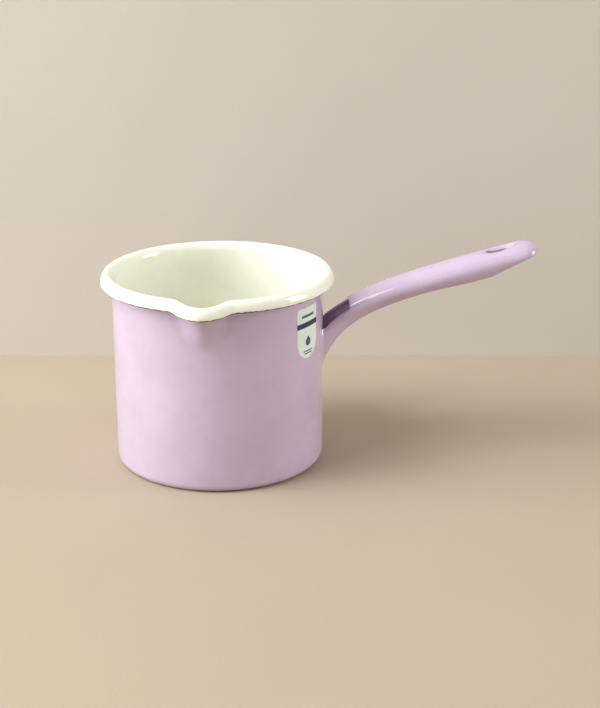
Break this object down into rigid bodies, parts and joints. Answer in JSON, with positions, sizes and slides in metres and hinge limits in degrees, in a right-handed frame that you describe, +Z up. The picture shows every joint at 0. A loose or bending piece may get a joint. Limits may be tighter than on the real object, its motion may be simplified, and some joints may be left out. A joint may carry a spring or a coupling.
{
  "type": "candle melting pot",
  "caption": "Small cylindrical enamelled pot with a rolled rim, a pressed pouring lip and one long hollow handle with a hang slot, for melting wax.",
  "frame": {"origin": "centre of the flat face the pot stands on, on the pot's axis", "axes": "+Z up along the pot's axis, +X out along the handle, the pouring lip towards -Y"},
  "size_m": [0.2497, 0.139, 0.1259],
  "materials": {
    "steel": "rolled sheet steel, covered by enamel",
    "cream_enamel": "glossy cream vitreous enamel",
    "lilac_enamel": "glossy lilac-pink vitreous enamel",
    "ground_enamel": "dark ground-coat enamel",
    "label_paper": "matte paper sticker",
    "label_ink": "printed ink"
  },
  "bodies": {
    "root": {"pot_body": "steel", "inner_enamel": "cream_enamel", "outer_enamel": "lilac_enamel", "base_enamel": "ground_enamel", "rim_ground_coat": "ground_enamel", "handle_lower_shell": "steel", "handle_upper_shell": "steel", "slot_sleeve": "steel", "seam_welds": "steel", "handle_weld": "lilac_enamel", "handle_lower_enamel": "lilac_enamel", "handle_upper_enamel": "lilac_enamel", "trough_enamel": "lilac_enamel", "label": "label_paper", "label_band": "label_ink", "label_print": "label_ink"}
  },
  "joints": []
}
